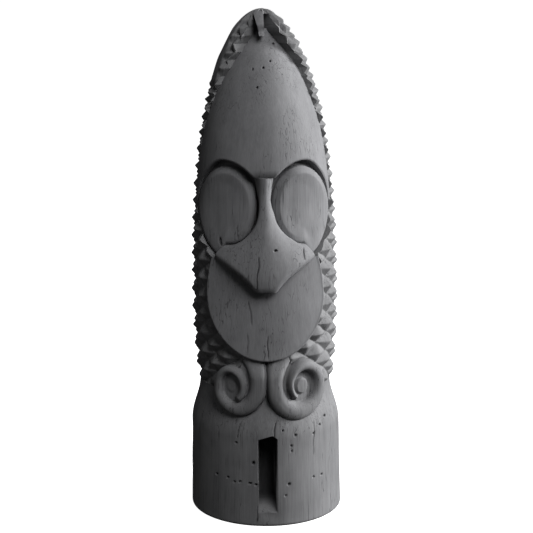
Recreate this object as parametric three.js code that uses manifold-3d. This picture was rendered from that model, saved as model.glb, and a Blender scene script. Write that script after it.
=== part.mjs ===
// Carved tiki figure: one upright log with a plinth, a long face under a hood of pyramid-cut hair,
// and two scrolls under the chin. Each carved member is a closed solid of its own, parted from its
// neighbours along the line where the carver's cut separates them.
//
// Millimetres. +Z is up, the face looks along -Y and +X is on the viewer's right. The origin is
// the middle of the flat underside.
import * as THREE from "three";
import { mergeVertices } from "three/addons/utils/BufferGeometryUtils.js";
import Module from "manifold-3d";

const wasm = await Module();
wasm.setup();

// ---- driving dimensions ----------------------------------------------------------------------
const HEIGHT = 1400; // ground to crown
const LEAN = 15; // how far the crown leans towards -X
const GAP = 0.3; // clearance between neighbouring members

// Plinth
const FOOT_RADIUS = 213.5;
const FOOT_ROUNDING = 8;
const SHOULDER_RADIUS = 208.5;
const SHOULDER_HEIGHT = 248;
const NECK_RADIUS = 183;
const NECK_HEIGHT = 375;

// Slot in the front of the plinth
const SLOT_WIDTH = 54;
const SLOT_BACK_WIDTH = 40;
const SLOT_DEPTH = 92;
const SLOT_FLOOR = 70;
const SLOT_HEIGHT = 182; // floor to the shoulders of its pointed top
const SLOT_PEAK = 8;
const SLOT_PEAK_SHIFT = 0.4; // how far the peak lies right of the middle, in half widths
const SLOT_RAMP_FOOT = 38; // height of the ramp where it runs out of the front
const SLOT_RAMP_DEPTH = 60;

// Eye discs, each with the cheek below and outside it
const EYE_CENTRE = 101;
const EYE_HEIGHT = 884;
const EYE_HALF_WIDTH = 80;
const EYE_RISE = 114;
const EYE_DROP = 104;
const CHEEK_DROP = 145;
const CHEEK_ONSET = 0.35; // share of the half width over which the disc deepens into the cheek
const EYE_GROOVE = 4; // groove between a disc and the nose

// Head and hair
const TEMPLE = 21; // from the outer edge of an eye disc to the tips of the pyramids
const WIDEST_RADIUS = EYE_CENTRE + EYE_HALF_WIDTH + TEMPLE;
const EYE_RADIUS = WIDEST_RADIUS - 30; // distance of the discs from the log's axis
const WIDEST_HEIGHT = 591;
const HAIR_FOOT_RADIUS = 188;
const TAPER = 2.5; // exponent of the head's taper towards the crown
const PYRAMID_DEPTH = 17;
const PYRAMIDS_ROUND = 13; // an odd number, so that the two sides of the head are out of step
const PYRAMID_SHARE = 1 / 3; // deepest pyramid, as a share of the radius near the crown
const ROW_STEP = 27.5; // half a pyramid, at the neck
const ROW_ORIGIN = 362; // a row of corners, from which the others are spaced
const ROWS_BELOW = Math.max(0, 2 * Math.ceil((ROW_ORIGIN - NECK_HEIGHT) / (2 * ROW_STEP)));
const FIRST_ROW = ROW_ORIGIN - ROWS_BELOW * ROW_STEP; // the neck hides it
const CROWN_ROW_STEP = 20.5; // the same at the crown
const PLAIN_HEIGHT = 1200; // the left flank of the crown is left plain above this
const PLAIN_FROM = 240; // and between these two angles from the front, towards +X
const PLAIN_TO = 290;
const PLAIN_DEPTH = 5; // the plain flank below the pyramid tips
const CORE_RADIUS = 150;
const CORE_BELOW_CROWN = 70;
const BACK_HALF_ANGLE = 50; // half of the sector that hair_back covers, degrees

// Forehead
const APEX_BELOW_CROWN = 59;
const FACE_SIDE_HEIGHT = 972; // where the sides of the face opening start to close
const FACE_SIDE_ANGLE = 80; // half angle of the face opening at the eyes, degrees
const APEX_ANGLE = 36; // the same at the apex
const OPENING_CURVE = 2.1; // how late the opening closes
const OPENING_BELOW_CROWN = 14; // top of the notch that the keel stands in
const SIDE_RECESS = 8; // forehead below the pyramid tips, at the sides of the face
const APEX_RECESS = 58; // the same at the apex
const RECESS_CURVE = 3; // how late the recess deepens
const BROW_HEIGHT = 1013;
const BROW_HALF_WIDTH = 82;
const BROW_CENTRE = 108; // middle of each brow arch from the midline
const BRIDGE_TOP = 962;

// Keel hanging from the crown
const KEEL_WIDTH = 24;
const KEEL_FOOT_WIDTH = 14;
const KEEL_POST_RADIUS = 22;

// Nose
const BRIDGE_HALF_WIDTH = 30; // before the eye discs and their grooves are cut out of it
const NOSE_HALF_WIDTH = 138;
const WING_HEIGHT = 742;
const WING_ROUNDING = 12;
const WING_DEPTH = 40; // height over which a wing keeps its width
const WING_SAG = 0.6; // how far up the lower edge has risen halfway along a wing
const NOSE_TIP_HEIGHT = 660;
const NOSE_TIP_HALF_WIDTH = 30;
const NOSE_TOP_RADIUS = EYE_RADIUS + 6;
const NOSE_TIP_RADIUS = 220;
const NOSE_FALL = 0.9; // how evenly the ridge falls back from the tip to the bridge
const NOSE_SQUEEZE = 0.85; // width to depth of the nose's cross-section

// Chin disc
const CHIN_HALF_WIDTH = 161;
const CHIN_HEIGHT = 640;
const CHIN_FOOT = NECK_HEIGHT + 93;
const CHIN_DROP = CHIN_HEIGHT - CHIN_FOOT;
const CHIN_RISE = 250;
const CHIN_TOP = 762; // where the disc ends under the nose
const CHIN_TOP_RADIUS = 172;
const CHIN_FOOT_RADIUS = 207;
const CHIN_SPREAD = 1.12; // width to depth of the disc's cross-section

// Volutes
const VOLUTE_EYE_X = 104; // middle of each spiral from the midline
const VOLUTE_EYE_Z = NECK_HEIGHT + 16;
const VOLUTE_STRETCH = 1.25; // height to width of the spiral
const VOLUTE_HUB = 42; // the radius that the spiral closes towards
const VOLUTE_SWEEP = 66; // how much wider it is where it passes the midline
const VOLUTE_CLOSING = 90; // degrees in which that excess falls to a third
const VOLUTE_BAND = 50;
const VOLUTE_BAND_LOSS = 0.09; // band width lost per degree
const VOLUTE_START = 20; // degrees after the stem's direction
const VOLUTE_END = 450;
const VOLUTE_STEM_ANGLE = 70;
const VOLUTE_RADIUS = 212; // front of the scrolls from the log's axis
const VOLUTE_SEAT = 177;

// ---- facets ----------------------------------------------------------------------------------
const ROUND_SEGMENTS = 64;
const CORE_SEGMENTS = 32;
const OUTLINE_POINTS = 48;
const CURVE_POINTS = 8;
const ROUNDING_STEPS = 3;
const BROW_STEPS = 40;
const SPIRAL_STEP = 15; // degrees
const CORE_ROWS = 14;
const FOREHEAD_ROWS = 22;
const OPENING_ROWS = 24;
const NOSE_ROWS = 10;
const CHIN_ROWS = 4;
const KEEL_ROWS = 4;
const REACH = 320; // cutters run this far out of the log
const APEX_HEIGHT = HEIGHT - APEX_BELOW_CROWN;
const CORE_HEIGHT = HEIGHT - CORE_BELOW_CROWN;

const rad = THREE.MathUtils.degToRad;
const clamp = THREE.MathUtils.clamp;
const lerp = THREE.MathUtils.lerp;
const steps = (n) => Array.from({ length: n + 1 }, (_, i) => i / n);

// ---- solids ----------------------------------------------------------------------------------
function solid(geometry) {
  const bare = geometry.clone();
  bare.deleteAttribute("normal");
  bare.deleteAttribute("uv");
  const merged = mergeVertices(bare, 1e-4);
  return new wasm.Manifold(
    new wasm.Mesh({
      numProp: 3,
      vertProperties: merged.attributes.position.array,
      triVerts: new Uint32Array(merged.index.array),
    }),
  );
}

// A solid of revolution about Z from [radius, height] points that start and end on the axis.
function turned(points, segments = ROUND_SEGMENTS, spread = 1) {
  const profile = points.map(([r, z]) => new THREE.Vector2(Math.max(r, 0), z));
  const geometry = new THREE.LatheGeometry(profile, segments);
  geometry.rotateX(Math.PI / 2);
  geometry.scale(spread, 1, 1);
  return solid(geometry);
}

// A body of revolution whose radius is a function of height between two heights.
function column(radius, low, high, rows, segments, spread) {
  const side = steps(rows).map((t) => lerp(low, high, t));
  const points = side.map((z) => [radius(z), z]);
  return turned([[0, low], ...points, [0, high]], segments, spread);
}

// A front-view outline of [x, z] points driven from the axis out through the front of the log.
function cutter(outline, depth = REACH) {
  const shape = new THREE.Shape(outline.map(([x, z]) => new THREE.Vector2(x, z)));
  const geometry = new THREE.ExtrudeGeometry(shape, { depth, bevelEnabled: false });
  return solid(geometry.rotateX(Math.PI / 2));
}

// The same outline moved outwards by a distance. Outlines run anticlockwise.
function grown(outline, by) {
  const n = outline.length;
  return outline.map(([x, z], i) => {
    const [ax, az] = outline[(i + n - 1) % n];
    const [bx, bz] = outline[(i + 1) % n];
    const along = Math.hypot(bx - ax, bz - az);
    return [x + ((bz - az) / along) * by, z - ((bx - ax) / along) * by];
  });
}

const mirrored = (outline) => outline.map(([x, z]) => [-x, z]).reverse();

// A solid from a closed ring of points at each of several levels, first level to last.
function stacked(rings) {
  const n = rings[0].length;
  const positions = rings.flat(2);
  const index = [];
  for (let k = 0; k + 1 < rings.length; k++) {
    for (let i = 0; i < n; i++) {
      const a = k * n + i;
      const b = k * n + ((i + 1) % n);
      index.push(a, b, a + n, b, b + n, a + n);
    }
  }
  const top = (rings.length - 1) * n;
  for (let i = 1; i + 1 < n; i++) {
    index.push(0, i + 1, i);
    index.push(top, top + i, top + i + 1);
  }
  const geometry = new THREE.BufferGeometry();
  geometry.setAttribute("position", new THREE.Float32BufferAttribute(positions, 3));
  geometry.setIndex(index);
  return solid(geometry);
}

// A point at an angle from the front of the log, towards +X.
function around(angle, radius, z) {
  return [Math.sin(angle) * radius, -Math.cos(angle) * radius, z];
}

// A wedge of the log from the axis outwards, between two angles that may change with height.
function sector(from, to, low, high, rows) {
  const arc = steps(CURVE_POINTS);
  return stacked(
    steps(rows).map((t) => {
      const z = lerp(low, high, t);
      const rim = arc.map((s) => around(lerp(from(z), to(z), s), REACH, z));
      return [[0, 0, z], ...rim];
    }),
  );
}

// ---- outlines and profiles -------------------------------------------------------------------
// Radius over the tips of the pyramids.
function headRadius(z) {
  if (z < WIDEST_HEIGHT) {
    const down = (WIDEST_HEIGHT - z) / (WIDEST_HEIGHT - NECK_HEIGHT);
    return WIDEST_RADIUS - (WIDEST_RADIUS - HAIR_FOOT_RADIUS) * down ** 2;
  }
  const up = clamp((z - WIDEST_HEIGHT) / (HEIGHT - WIDEST_HEIGHT), 0, 1);
  return WIDEST_RADIUS * Math.sqrt(1 - up ** TAPER);
}

function coreRadius(z) {
  const up = clamp((z - WIDEST_HEIGHT) / (CORE_HEIGHT - WIDEST_HEIGHT), 0, 1);
  return CORE_RADIUS * Math.sqrt(1 - up ** TAPER);
}

function foreheadRadius(z) {
  const up = clamp((z - FACE_SIDE_HEIGHT) / (APEX_HEIGHT - FACE_SIDE_HEIGHT), 0, 1);
  return headRadius(z) - lerp(SIDE_RECESS, APEX_RECESS, up ** RECESS_CURVE);
}

// Half angle of the opening that the face lies in.
function openingAngle(z) {
  const up = clamp((z - FACE_SIDE_HEIGHT) / (APEX_HEIGHT - FACE_SIDE_HEIGHT), 0, 1);
  return rad(lerp(FACE_SIDE_ANGLE, APEX_ANGLE, up ** OPENING_CURVE));
}

const chinRadius = (z) =>
  lerp(CHIN_FOOT_RADIUS, CHIN_TOP_RADIUS, (z - CHIN_FOOT) / (CHIN_TOP - CHIN_FOOT));

function noseRadius(z) {
  const up = clamp((z - NOSE_TIP_HEIGHT) / (BRIDGE_TOP - NOSE_TIP_HEIGHT), 0, 1);
  return lerp(NOSE_TIP_RADIUS, NOSE_TOP_RADIUS, up ** NOSE_FALL);
}

// An ellipse about (cx, cz) whose upper half has one height and whose lower half another, which
// may depend on the cosine of the angle.
function egg(cx, cz, halfWidth, rise, drop, points) {
  return Array.from({ length: points }, (_, i) => {
    const a = (2 * Math.PI * i) / points;
    const reach = Math.sin(a) > 0 ? rise : drop(Math.cos(a));
    return [cx + halfWidth * Math.cos(a), cz + reach * Math.sin(a)];
  });
}

const eyeDrop = (side) =>
  lerp(EYE_DROP, CHEEK_DROP, THREE.MathUtils.smoothstep(side, 0, CHEEK_ONSET));

const chinOutline = egg(0, CHIN_HEIGHT, CHIN_HALF_WIDTH, CHIN_RISE, () => CHIN_DROP, OUTLINE_POINTS);
const rightEyeOutline = egg(EYE_CENTRE, EYE_HEIGHT, EYE_HALF_WIDTH, EYE_RISE, eyeDrop, OUTLINE_POINTS);

// The nose seen from the front: a bridge that flares into two wings, and a blunt tip below them.
function noseOutline() {
  const half = new THREE.Path();
  const tipHalf = NOSE_TIP_HALF_WIDTH;
  const wingHalf = NOSE_HALF_WIDTH;
  const lip = WING_HEIGHT - WING_ROUNDING;
  half.moveTo(tipHalf, NOSE_TIP_HEIGHT);
  const sag = lerp(NOSE_TIP_HEIGHT, WING_HEIGHT, WING_SAG);
  half.quadraticCurveTo(wingHalf / 2, sag, wingHalf - WING_ROUNDING, lip);
  half.quadraticCurveTo(wingHalf, lip, wingHalf, WING_HEIGHT);
  half.lineTo(wingHalf - WING_ROUNDING, WING_HEIGHT + WING_DEPTH);
  half.lineTo(BRIDGE_HALF_WIDTH, BRIDGE_TOP - WING_DEPTH);
  half.lineTo(BRIDGE_HALF_WIDTH, BRIDGE_TOP);
  const right = half.getPoints(CURVE_POINTS).map((p) => [p.x, p.y]);
  return [...right, ...mirrored(right)];
}

// One scroll on the viewer's right, as a band between two spirals about (0, 0).
function spiral(inset, from, to, grow = 0) {
  const count = Math.round((to - from) / SPIRAL_STEP);
  return steps(count).map((t) => {
    const turn = lerp(from, to, t);
    const outer = VOLUTE_HUB + VOLUTE_SWEEP * Math.exp((VOLUTE_STEM_ANGLE - turn) / VOLUTE_CLOSING);
    const band = VOLUTE_BAND - VOLUTE_BAND_LOSS * (turn - VOLUTE_STEM_ANGLE);
    const reach = outer - (inset ? band : 0) + grow;
    const angle = rad(180 - VOLUTE_STEM_ANGLE + turn);
    return [
      VOLUTE_EYE_X + reach * Math.cos(angle),
      VOLUTE_EYE_Z + reach * VOLUTE_STRETCH * Math.sin(angle),
    ];
  });
}

// ---- members ---------------------------------------------------------------------------------
const core = column(coreRadius, NECK_HEIGHT + GAP, CORE_HEIGHT, CORE_ROWS, CORE_SEGMENTS);
const overCoreRadius = (z) => coreRadius(z) + GAP;
const overCore = column(overCoreRadius, NECK_HEIGHT, CORE_HEIGHT + GAP, CORE_ROWS, CORE_SEGMENTS);

// The wedge in the front of the head that the face lies in.
function openingSector(shrink) {
  const half = (z) => openingAngle(z) - shrink / KEEL_POST_RADIUS;
  return sector((z) => -half(z), half, EYE_HEIGHT, HEIGHT - OPENING_BELOW_CROWN, OPENING_ROWS);
}

const foreheadTop = APEX_HEIGHT + SIDE_RECESS;
const noseOuter = noseOutline();
const nosePlot = cutter(grown(noseOuter, GAP));
const belowNose = column(() => REACH, 0, CHIN_TOP + GAP, 1);
const chinPlot = cutter(grown(chinOutline, GAP)).intersect(belowNose);
const bothSides = (made) => made.add(made.mirror([1, 0, 0]));

// The front of the log, as far round as the sides of the face.
function frontSector(shrink) {
  const half = rad(FACE_SIDE_ANGLE) - shrink / EYE_RADIUS;
  return sector(() => -half, () => half, 0, HEIGHT, 1);
}

const eyePlots = bothSides(cutter(grown(rightEyeOutline, GAP))).intersect(frontSector(0));
const scrollOutline = spiral(false, VOLUTE_START, VOLUTE_START + 360);
const bandOutline = [
  ...spiral(false, VOLUTE_START, VOLUTE_END),
  ...spiral(true, VOLUTE_START, VOLUTE_END).reverse(),
];
const scrollPlot = cutter(grown(scrollOutline, GAP)).add(cutter(grown(bandOutline, GAP)));
const seatCut = bothSides(scrollPlot).subtract(column(() => VOLUTE_SEAT - GAP, 0, HEIGHT, 1));

function plinth() {
  const rounding = steps(ROUNDING_STEPS).map((t) => {
    const a = (Math.PI / 2) * t;
    return [
      FOOT_RADIUS - FOOT_ROUNDING * (1 - Math.sin(a)),
      FOOT_ROUNDING * (1 - Math.cos(a)),
    ];
  });
  const shoulder = steps(CURVE_POINTS).map((t) => [
    lerp(SHOULDER_RADIUS, NECK_RADIUS, (1 - Math.cos(Math.PI * t)) / 2),
    lerp(SHOULDER_HEIGHT, NECK_HEIGHT, t),
  ]);
  const log = turned([[0, 0], ...rounding, ...shoulder, [0, NECK_HEIGHT]]);
  return log.subtract(slot()).subtract(seatCut);
}

// The slot narrows towards its back, and its floor falls away to the front as a ramp.
function slot() {
  const half = SLOT_WIDTH / 2;
  const top = SLOT_FLOOR + SLOT_HEIGHT;
  const mouth = [
    [-half, SLOT_RAMP_FOOT - SLOT_PEAK],
    [half, SLOT_RAMP_FOOT - SLOT_PEAK],
    [half, top],
    [half * SLOT_PEAK_SHIFT, top + SLOT_PEAK],
    [-half, top],
  ];
  const front = -REACH;
  const back = SLOT_DEPTH - FOOT_RADIUS;
  const backHalf = SLOT_BACK_WIDTH / 2;
  const flare = half + ((half - backHalf) * (REACH - FOOT_RADIUS)) / SLOT_DEPTH;
  const plan = (z) => [
    [-flare, front, z],
    [flare, front, z],
    [backHalf, back, z],
    [-backHalf, back, z],
  ];
  const walls = stacked([plan(0), plan(HEIGHT)]);
  const rampBack = SLOT_RAMP_DEPTH - FOOT_RADIUS;
  const fall = (SLOT_FLOOR - SLOT_RAMP_FOOT) / SLOT_RAMP_DEPTH;
  const frontHeight = SLOT_FLOOR - fall * (rampBack - front);
  const side = (x) => [
    [x, front, frontHeight],
    [x, front, HEIGHT],
    [x, 0, HEIGHT],
    [x, 0, SLOT_FLOOR],
    [x, rampBack, SLOT_FLOOR],
  ];
  const aboveFloor = stacked([side(REACH), side(-REACH)]);
  return cutter(mouth).intersect(walls).intersect(aboveFloor);
}

// Pyramids in staggered rows: corners in the valleys and tips on the head's outline alternate.
function hairBody() {
  const columns = 2 * PYRAMIDS_ROUND;
  const halfColumn = Math.PI / PYRAMIDS_ROUND;
  const rings = [];
  let z = FIRST_ROW;
  for (let row = 0; z < HEIGHT - CROWN_ROW_STEP / 2; row++) {
    const ring = [];
    for (let i = 0; i < columns; i++) {
      const angle = (i + 0.5) * halfColumn;
      const plain = z > PLAIN_HEIGHT && angle > rad(PLAIN_FROM) && angle < rad(PLAIN_TO);
      const valley = (i + row) % 2 === 0;
      const r = headRadius(z);
      const depth = Math.min(PYRAMID_DEPTH, r * PYRAMID_SHARE);
      const cut = valley ? depth : 0;
      ring.push(around(angle, r - (plain ? PLAIN_DEPTH : cut), z));
    }
    rings.push(ring);
    const up = Math.max(0, (z - ROW_ORIGIN) / (HEIGHT - ROW_ORIGIN));
    z += lerp(ROW_STEP, CROWN_ROW_STEP, up);
  }
  const positions = rings.flat(2);
  const last = rings.length - 1;
  positions.push(0, 0, FIRST_ROW, 0, 0, HEIGHT);
  const bottom = rings.length * columns;
  const index = [];
  for (let k = 0; k < last; k++) {
    for (let i = 0; i < columns; i++) {
      const a = k * columns + i;
      const b = k * columns + ((i + 1) % columns);
      const c = a + columns;
      const d = b + columns;
      if ((i + k) % 2 === 0) index.push(a, b, d, a, d, c);
      else index.push(a, b, c, b, d, c);
    }
  }
  for (let i = 0; i < columns; i++) {
    const next = (i + 1) % columns;
    index.push(bottom, next, i);
    index.push(bottom + 1, last * columns + i, last * columns + next);
  }
  const geometry = new THREE.BufferGeometry();
  geometry.setAttribute("position", new THREE.Float32BufferAttribute(positions, 3));
  geometry.setIndex(index);
  return solid(geometry);
}

// A slender post behind the keel, which holds the two halves of the hood's front apart.
function post(grow) {
  const low = foreheadTop + GAP;
  const radius = (z) => (KEEL_POST_RADIUS * (HEIGHT - z)) / (HEIGHT - low) + grow;
  return column(radius, low, HEIGHT, 1, CORE_SEGMENTS);
}

function hood() {
  const opening = openingSector(0).subtract(post(0));
  const plots = chinPlot.add(nosePlot).add(eyePlots).add(seatCut);
  const belowNeck = column(() => REACH, 0, NECK_HEIGHT + GAP, 1);
  return hairBody().subtract(overCore).subtract(opening).subtract(plots).subtract(belowNeck);
}

// The hair between two angles from the front, with half a gap on each side.
function hairBetween(hair, from, to) {
  const inset = GAP / 2;
  const turn = (angle, side) => () => rad(angle) + side * (inset / CORE_RADIUS);
  return hair.intersect(sector(turn(from, 1), turn(to, -1), 0, HEIGHT + 1, 1));
}

function forehead() {
  const panel = column(foreheadRadius, BRIDGE_TOP, foreheadTop, FOREHEAD_ROWS);
  const brow = (x) => {
    const off = clamp((Math.abs(x) - BROW_CENTRE) / BROW_HALF_WIDTH, -1, 1);
    return lerp(BRIDGE_TOP, BROW_HEIGHT, Math.sqrt(1 - off * off));
  };
  const edge = steps(BROW_STEPS).map((t) => {
    const x = lerp(-WIDEST_RADIUS, WIDEST_RADIUS, t);
    return [x, brow(x)];
  });
  const above = cutter([...edge, [WIDEST_RADIUS, HEIGHT], [-WIDEST_RADIUS, HEIGHT]]);
  const opening = openingSector(GAP);
  return panel.intersect(opening).intersect(above).subtract(overCore).subtract(nosePlot);
}

function nose() {
  const body = column(noseRadius, NOSE_TIP_HEIGHT - 1, BRIDGE_TOP, NOSE_ROWS, ROUND_SEGMENTS, NOSE_SQUEEZE);
  const chin = (z) => chinRadius(z) + GAP;
  const under = column(chin, CHIN_FOOT, CHIN_TOP + GAP, CHIN_ROWS, ROUND_SEGMENTS, CHIN_SPREAD);
  const grooves = bothSides(cutter(grown(rightEyeOutline, EYE_GROOVE)));
  return body.intersect(cutter(noseOuter)).subtract(overCore).subtract(under).subtract(grooves);
}

function rightEye() {
  const disc = column(() => EYE_RADIUS, WING_HEIGHT, BROW_HEIGHT, 1);
  const plot = cutter(rightEyeOutline).intersect(frontSector(GAP));
  return disc.intersect(plot).subtract(overCore).subtract(chinPlot);
}

function chinDisc() {
  const body = column(chinRadius, CHIN_FOOT, CHIN_TOP, CHIN_ROWS, ROUND_SEGMENTS, CHIN_SPREAD);
  return body.intersect(cutter(chinOutline)).subtract(overCore);
}

function keel() {
  const foot = APEX_HEIGHT;
  const top = HEIGHT - OPENING_BELOW_CROWN - GAP;
  const outline = [
    [-KEEL_FOOT_WIDTH / 2, foot],
    [KEEL_FOOT_WIDTH / 2, foot],
    [KEEL_WIDTH / 2, top],
    [-KEEL_WIDTH / 2, top],
  ];
  const body = column((z) => headRadius(z) - PYRAMID_DEPTH / 2, foot, top, KEEL_ROWS);
  const overForehead = (z) => foreheadRadius(z) + GAP;
  const panel = column(overForehead, BRIDGE_TOP, foreheadTop + GAP, FOREHEAD_ROWS);
  const blade = body.intersect(cutter(outline)).intersect(openingSector(GAP));
  return blade.subtract(post(GAP)).subtract(panel);
}

// A scroll is a band between its outer and inner spiral, cut off at the midline and the chin.
function rightVolute() {
  const band = cutter(bandOutline);
  const behind = column(() => VOLUTE_SEAT, -1, HEIGHT + 1, 1);
  const shell = column(() => VOLUTE_RADIUS, 0, HEIGHT, 1).subtract(behind);
  const side = cutter([
    [GAP / 2, 0],
    [WIDEST_RADIUS, 0],
    [WIDEST_RADIUS, HEIGHT],
    [GAP / 2, HEIGHT],
  ]);
  return band.intersect(shell).intersect(side).subtract(chinPlot);
}

const flipped = (made) => made.mirror([1, 0, 0]);

// ---- the figure ------------------------------------------------------------------------------
const WOODS = {
  plinth_wood: { color: 0x5a5a5c, roughness: 0.86 },
  face_wood: { color: 0x66666a, roughness: 0.8 },
  hair_wood: { color: 0x4c4c4e, roughness: 0.9 },
};

function meshOf(name, made, wood) {
  const m = made.getMesh();
  const geometry = new THREE.BufferGeometry();
  const positions = new Float32Array(m.numVert * 3);
  for (let i = 0; i < m.numVert; i++) {
    const [x, y, z] = m.vertProperties.subarray(i * m.numProp, i * m.numProp + 3);
    positions.set([x - (LEAN * z) / HEIGHT, y, z], i * 3);
  }
  geometry.setAttribute("position", new THREE.BufferAttribute(positions, 3));
  geometry.setIndex(new THREE.BufferAttribute(m.triVerts, 1));
  const material = new THREE.MeshStandardMaterial({ ...WOODS[wood], metalness: 0, flatShading: true });
  const mesh = new THREE.Mesh(geometry, material);
  mesh.name = name;
  return mesh;
}

const hair = hood();
const eye = rightEye();
const volute = rightVolute();
const backFrom = 180 - BACK_HALF_ANGLE;
const figure = new THREE.Group();
figure.add(
  meshOf("base_drum", plinth(), "plinth_wood"),
  meshOf("head_core", core, "face_wood"),
  meshOf("forehead", forehead(), "face_wood"),
  meshOf("crown_keel", keel(), "face_wood"),
  meshOf("left_eye", flipped(eye), "face_wood"),
  meshOf("right_eye", eye, "face_wood"),
  meshOf("nose", nose(), "face_wood"),
  meshOf("chin_disc", chinDisc(), "face_wood"),
  meshOf("left_volute", flipped(volute), "plinth_wood"),
  meshOf("right_volute", volute, "plinth_wood"),
  meshOf("hair_left", hairBetween(hair, -backFrom, 0), "hair_wood"),
  meshOf("hair_right", hairBetween(hair, 0, backFrom), "hair_wood"),
  meshOf("hair_back", hairBetween(hair, backFrom, 360 - backFrom), "hair_wood"),
);

export default figure;
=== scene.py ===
"""Looks of the carved tiki figure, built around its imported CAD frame.

Every carved member is one closed piece on the log. It is worked out over a fine net of angles and
heights, with its own carved relief, and stands for the CAD node of the same member. Angles run
from the front of the log towards +X. Lengths are in millimetres until a mesh is made. Left and right
are the viewer's. In names, R is a radius and Z a height. A, Z and D are arrays over a net: angles,
heights and distances inside.
"""
import math

import bmesh
import bpy
import numpy as np
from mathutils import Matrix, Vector
from mathutils.geometry import delaunay_2d_cdt


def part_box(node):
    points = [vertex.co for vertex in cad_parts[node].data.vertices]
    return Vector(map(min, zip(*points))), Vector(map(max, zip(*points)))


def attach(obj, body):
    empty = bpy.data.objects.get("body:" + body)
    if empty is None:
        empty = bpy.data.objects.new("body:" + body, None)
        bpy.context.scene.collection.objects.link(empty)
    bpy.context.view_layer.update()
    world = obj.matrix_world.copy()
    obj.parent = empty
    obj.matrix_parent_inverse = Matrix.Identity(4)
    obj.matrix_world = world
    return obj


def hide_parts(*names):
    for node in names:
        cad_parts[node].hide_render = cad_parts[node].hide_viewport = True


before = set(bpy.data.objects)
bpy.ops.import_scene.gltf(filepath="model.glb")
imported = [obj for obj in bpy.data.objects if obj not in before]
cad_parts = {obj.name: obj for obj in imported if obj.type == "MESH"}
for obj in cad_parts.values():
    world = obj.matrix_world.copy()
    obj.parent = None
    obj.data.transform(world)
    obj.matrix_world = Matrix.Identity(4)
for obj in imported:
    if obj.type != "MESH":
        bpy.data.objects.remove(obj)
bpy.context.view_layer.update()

MM = 1000.0  # millimetres in a metre


def node_box(name):
    """Lowest and highest corner of a CAD node, in millimetres."""
    low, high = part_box(name)
    return np.array(low) * MM, np.array(high) * MM


# ---- driving sizes: foot, neck and height are the frame's ------------------------------------
drum_low, drum_high = node_box("base_drum")
FOOT_R = (drum_high[0] - drum_low[0]) / 2
NECK_Z = drum_high[2]
HEIGHT = node_box("hair_back")[1][2]
LEAN = 15.0  # how far the crown leans towards -X
FOOT_ROUNDING = 8.0
SHOULDER_R, SHOULDER_Z = 208.5, 248.0
NECK_R = 183.0
WIDEST_R, WIDEST_Z = 202.0, 591.0
HAIR_FOOT_R = 188.0
TAPER = 2.5
SEAT_R = 178  # how deep the plinth is cut to seat the scrolls
SCOOP_DEPTH, SCOOP_HALF = 5, 22  # worn hollow below the slot
LOG_R = 200.0  # a middling radius, for spacing and unevenness
CORE_R = 118.0  # plain core that the carved pieces stand on
GAP = 0.4  # between two carved pieces

# ---- hair ------------------------------------------------------------------------------------
PYRAMIDS = 13
HALF_COLUMN = math.pi / PYRAMIDS
PYRAMID_DEPTH = 18.0
PYRAMID_FULLER = 4  # how much further out the pyramids stand on the right
FIRST_ROW, ROW_STEP, CROWN_ROW_STEP = 362.0, 27.5, 20.5
WORN = 0.07  # rounding of a pyramid's tip and edges, as a share of its half width
PLAIN_LOW, PLAIN_HIGH, PLAIN_DEPTH = 1185.0, 1215.0, 5.0  # patch left of the crown without pyramids
PLAIN_EDGE, PLAIN_FULL = 0.86, 0.93  # how far to the side the patch begins and is full, as a sine

# ---- face ------------------------------------------------------------------------------------
APEX_Z = HEIGHT - 59.0
SIDE_Z = 972.0
SIDE_ANGLE, APEX_ANGLE = math.radians(80.0), math.radians(36.0)
OPENING_TOP = HEIGHT - 14.0
BRIDGE_Z, BROW_Z = 962.0, 1013.0
FACE_SUNK, APEX_SUNK = 8, 50  # how far the forehead lies below the hair, and how much more at the apex
LEFT_NOTCH, RIGHT_NOTCH = 11.0, 5.0  # steps in the rim of the hood
FLARE_ANGLE, FLARE_Z, FLARE_SPREAD = math.radians(14), 1258, 66  # where the right rim is cut back
LEDGE_DEPTH, LEDGE_RISE = 9, 22  # foot of the forehead, lowered to meet the bridge of the nose
KEEL_FOOT_HALF, KEEL_TOP_HALF = 7.0, 13.0
KEEL_FOOT_X, KEEL_TOP_X = -1.0, -8.0
KEEL_FOOT_SUNK, KEEL_TOP_SUNK = 20, 3

EYE_X, EYE_Z, EYE_HALF, EYE_RISE, EYE_DROP, CHEEK_DROP = 100.0, 884.0, 78.0, 104.0, 104.0, 145.0
EYE_INNER_R, EYE_FULLNESS, CHEEK_FULLNESS = 153, 33, 6  # flat of a disc: beside the nose, at the side
DISC_LIFT, DISC_BEVEL, DISC_ROUNDING, DISC_DISH, DISC_GROOVE = 5, 12, 5, 3.0, 11
LOW_GROOVE, HIGH_GROOVE = 3.5, 9.0  # width of the groove between a disc and the nose
INNER_BROW_GAP, OUTER_BROW_GAP = 18.0, 8.0
CHEEK_LAP = 9.0  # how much nearer the nose comes to the disc on the right
CHIN_Z, CHIN_HALF, CHIN_RISE, CHIN_DROP, CHIN_TOP = 640.0, 161.0, 250.0, 172.0, 762.0
CHIN_CURVE = 290.0  # radius of the chin disc's front, seen from above
CHIN_TOP_R, CHIN_LEAN = 167, 43  # how far out its top lies, and its foot beyond that

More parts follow.
